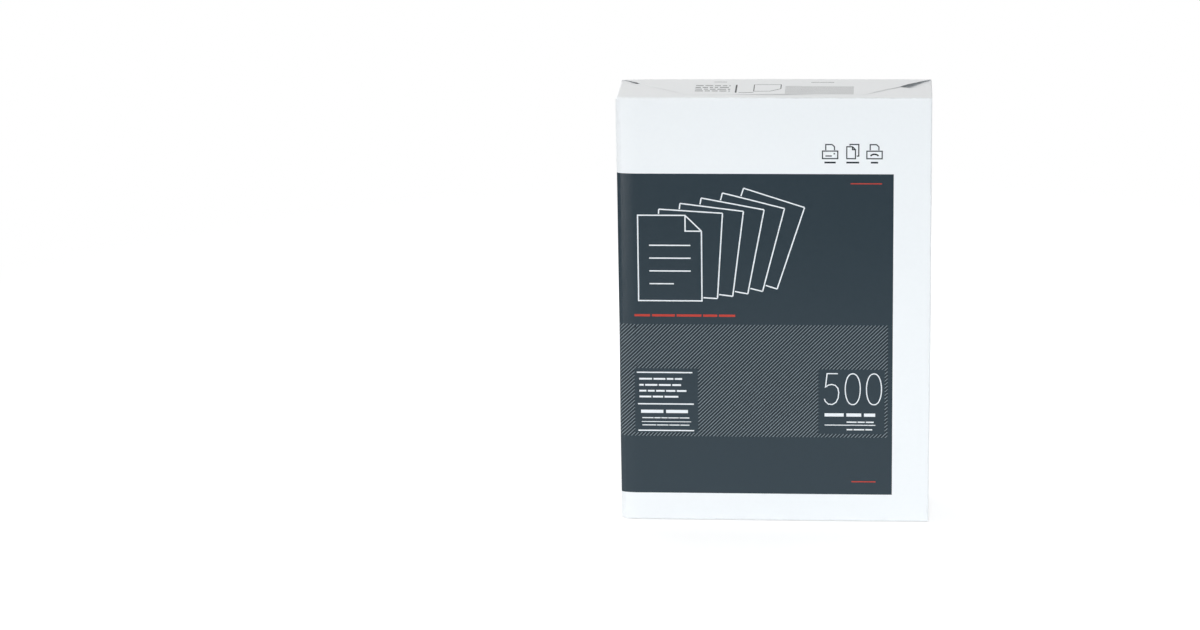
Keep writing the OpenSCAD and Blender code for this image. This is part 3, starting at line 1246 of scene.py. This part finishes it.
# Rules, an upright bar, rows of short bars and a plain line figure.
def endPrint():
    e = endMarks
    rng = np.random.default_rng(e["seed"])
    bars = [levelBar(*rule, onFlap) for rule in e["rules"]]
    x, low, high, width = e["bar"]
    bars.append(strokeBar([(x, low), (x, high)], width, onFlap))
    for y in e["rows"]:
        bars += wordRow(rng, *e["rowEnds"], y, *e["rowBars"], place=onFlap)
    bars.append(strokeBar(e["figure"], e["figureStroke"], onFlap, closed=True))
    return bars


printPiece("greyMarks", smallIcons() + endPrint(), paper["greyMark"])

# The pale hatched block on the upper flap.
endBlock = {
    "left": 7.0,
    "right": 53.0,
    "low": -16.5,
    "high": 5.5,
    "period": 1.5,
    "width": 0.9,
}


# Level lines from low to high, one every period.
def endHatching():
    e = endBlock
    rows = np.arange(e["low"], e["high"], e["period"])
    return [levelBar(e["left"], e["right"], y, e["width"], onFlap) for y in rows]


printPiece("endBlock", endHatching(), paper["greyBlock"])


# Floor, light and camera

# What changes over the floor is given as its value near the pack, its value far off, and the two distances
# from the middle of the pack in metres.
stageShape = {
    "floorSize": 6.0,
    "floorLines": 9,
    "thrown": (0.92, 0.3, 0.25, 0.9),
    "shaded": (0.66, 0.0, 0.25, 0.9),
    "glow": (0.55, 1.0, 0.2, 0.5),
    "mirrored": (1.0, 0.0, 0.35, 0.8),
    "world": 0.3,
    "worldColour": (0.97, 0.985, 1.0),
}


# The floor's material. The camera sees a glow and a lit share that make white together, so the pack's
# shadow stays. Mirrored rays see it white near the pack. The light that it throws back falls off with
# distance, as on a lit sweep in a dark room.
def floorMaterial():
    s = stageShape
    material = bpy.data.materials.new("paleFloor")
    material.use_nodes = True
    tree = material.node_tree
    tree.nodes.remove(tree.nodes["Principled BSDF"])
    place = addNode(tree, "ShaderNodeTexCoord").outputs["Object"]
    distance = addNode(tree, "ShaderNodeVectorMath", {0: place}, operation="LENGTH").outputs["Value"]

    # A white shader whose named input changes with the distance.
    def byDistance(kind, socket, values):
        limits = dict(zip(("To Min", "To Max", "From Min", "From Max"), values))
        limits["Value"] = distance
        fade = addNode(tree, "ShaderNodeMapRange", limits, interpolation_type="SMOOTHSTEP")
        return addNode(tree, kind, {"Color": (1, 1, 1, 1), socket: fade.outputs["Result"]}).outputs[0]

    thrown = byDistance("ShaderNodeBsdfDiffuse", "Color", s["thrown"])
    shaded = byDistance("ShaderNodeBsdfDiffuse", "Color", s["shaded"])
    glow = byDistance("ShaderNodeEmission", "Strength", s["glow"])
    mirroredLight = byDistance("ShaderNodeEmission", "Strength", s["mirrored"])
    seen = addNode(tree, "ShaderNodeAddShader", {0: shaded, 1: glow}).outputs[0]
    path = addNode(tree, "ShaderNodeLightPath").outputs
    through = mathOf(tree, "MAXIMUM", path["Is Glossy Ray"], path["Is Transmission Ray"])
    indirect = {"Fac": through, 1: thrown, 2: mirroredLight}
    reflected = addNode(tree, "ShaderNodeMixShader", indirect).outputs[0]
    both = {"Fac": path["Is Camera Ray"], 1: reflected, 2: seen}
    mix = addNode(tree, "ShaderNodeMixShader", both).outputs[0]
    setInputs(tree, tree.nodes["Material Output"], {"Surface": mix})
    return material


# A level floor, as a grid of points in millimetres.
def buildFloor():
    line = np.linspace(-stageShape["floorSize"], stageShape["floorSize"], stageShape["floorLines"])
    gridX, gridY = np.meshgrid(line, line, indexing="ij")
    points = np.stack([gridX.ravel(), gridY.ravel(), np.zeros(gridX.size)], axis=-1) * 1000.0
    faces = gridFaces(np.arange(gridX.size).reshape(gridX.shape))
    floor = meshPiece("floor", points, faces, [floorMaterial()])


# The world lights softly, and is white to the camera, in mirrored rays and in rays that pass through.
def buildWorld():
    world = bpy.data.worlds.new("studio")
    bpy.context.scene.world = world
    world.use_nodes = True
    tree = world.node_tree
    soft = tree.nodes["Background"]
    setInputs(tree, soft, {"Color": (*stageShape["worldColour"], 1), "Strength": stageShape["world"]})
    white = addNode(tree, "ShaderNodeBackground", {"Color": (1, 1, 1, 1), "Strength": 1.0})
    path = addNode(tree, "ShaderNodeLightPath").outputs
    seen = mathOf(tree, "MAXIMUM", path["Is Camera Ray"], path["Is Glossy Ray"])
    seen = mathOf(tree, "MAXIMUM", seen, path["Is Transmission Ray"])
    mix = addNode(tree, "ShaderNodeMixShader", {"Fac": seen, 1: soft.outputs[0], 2: white.outputs[0]})
    setInputs(tree, tree.nodes["World Output"], {"Surface": mix.outputs[0]})


# Puts a lamp or a camera into the scene with its own three directions and its place in metres.
def placeInScene(holder, side, up, back, place):
    pose = np.eye(4)
    pose[:3] = np.stack([side, up, back, place], axis=-1)
    holder.matrix_world = Matrix(pose.tolist())
    bpy.context.scene.collection.objects.link(holder)


# Soft boxes, each turned to the middle of the pack: place, width and height, power in watts, colour, and
# whether glossy surfaces mirror it.
lampShapes = {
    "lowBox": ((0.25, -0.75, 0.13), (1.6, 0.25), 2.65, (0.915, 0.97, 1.0), False),
    "frontBox": ((0.4, -2.2, 0.9), (1.5, 1.5), 14.0, (0.905, 0.97, 1.0), True),
    "leftBox": ((-0.62, -0.85, 0.05), (0.5, 0.09), 1.5, (1.0, 0.98, 0.97), True),
    "rimBox": ((-1.6, -0.25, 0.5), (0.8, 0.8), 6.0, (0.98, 0.99, 1.0), True),
    "rightBox": ((1.7, 0.4, 0.35), (0.8, 0.6), 4.5, (1.0, 1.0, 1.0), True),
    "topBox": ((-0.1, 0.05, 1.6), (0.8, 0.8), 7.65, (1.0, 0.978, 0.945), False),
    "backBox": ((-1.15, 1.6, 0.2), (0.7, 0.5), 14.0, (1.0, 1.0, 1.0), True),
}
packMiddle = np.array([0.0, 0.0, 0.15])  # in metres


# Each lamp looks from its place to the middle of the pack, with its width level.
def buildLamps():
    for name, (place, size, power, colour, inGloss) in lampShapes.items():
        lamp = bpy.data.lights.new(name, "AREA")
        lamp.shape = "RECTANGLE"
        lamp.size, lamp.size_y = size
        lamp.energy = power
        lamp.color = colour
        holder = bpy.data.objects.new(name, lamp)
        holder.visible_glossy = inGloss
        holder.visible_camera = False
        back = np.array(place) - packMiddle
        back /= np.linalg.norm(back)
        side = np.cross([0.0, 0.0, 1.0], back)
        side /= np.linalg.norm(side)
        placeInScene(holder, side, np.cross(back, side), back, place)


# The camera at the photograph's angle: turn, downward tilt and roll in degrees, offsets and distance in
# millimetres from the middle of the pack, and focal length in pixels of a 1200 pixel wide frame.
cameraView = {
    "turn": 4.56,
    "tilt": 16.84,
    "roll": -0.97,
    "across": -120.1,
    "rise": -9.4,
    "distance": 2600.0,
    "focalPixels": 3802.0,
    "framePixels": 1200.0,
    "sensorWidth": 36.0,
    "clip": (0.05, 50.0),  # nearest and farthest that it sees, in metres
}


# It looks along its turn and tilt, and its right and upward directions are rolled about that line.
def buildCamera():
    v = cameraView
    turn, tilt, roll = (math.radians(v[key]) for key in ("turn", "tilt", "roll"))
    look = np.array([-math.sin(turn) * math.cos(tilt), math.cos(turn) * math.cos(tilt), -math.sin(tilt)])
    level = np.array([math.cos(turn), math.sin(turn), 0.0])
    upright = np.cross(level, look)
    right = level * math.cos(roll) + upright * math.sin(roll)
    up = upright * math.cos(roll) - level * math.sin(roll)
    place = packMiddle * 1000.0 - look * v["distance"] + right * v["across"] + up * v["rise"]
    data = bpy.data.cameras.new("photoView")
    data.sensor_width = v["sensorWidth"]
    data.lens = v["focalPixels"] * v["sensorWidth"] / v["framePixels"]
    data.clip_start, data.clip_end = v["clip"]
    camera = bpy.data.objects.new("photoView", data)
    placeInScene(camera, right, up, -look, place * 0.001)
    bpy.context.scene.camera = camera


buildFloor()
buildWorld()
buildLamps()
buildCamera()
bpy.context.scene.view_settings.view_transform = "Standard"
print("stage, light and camera ready")
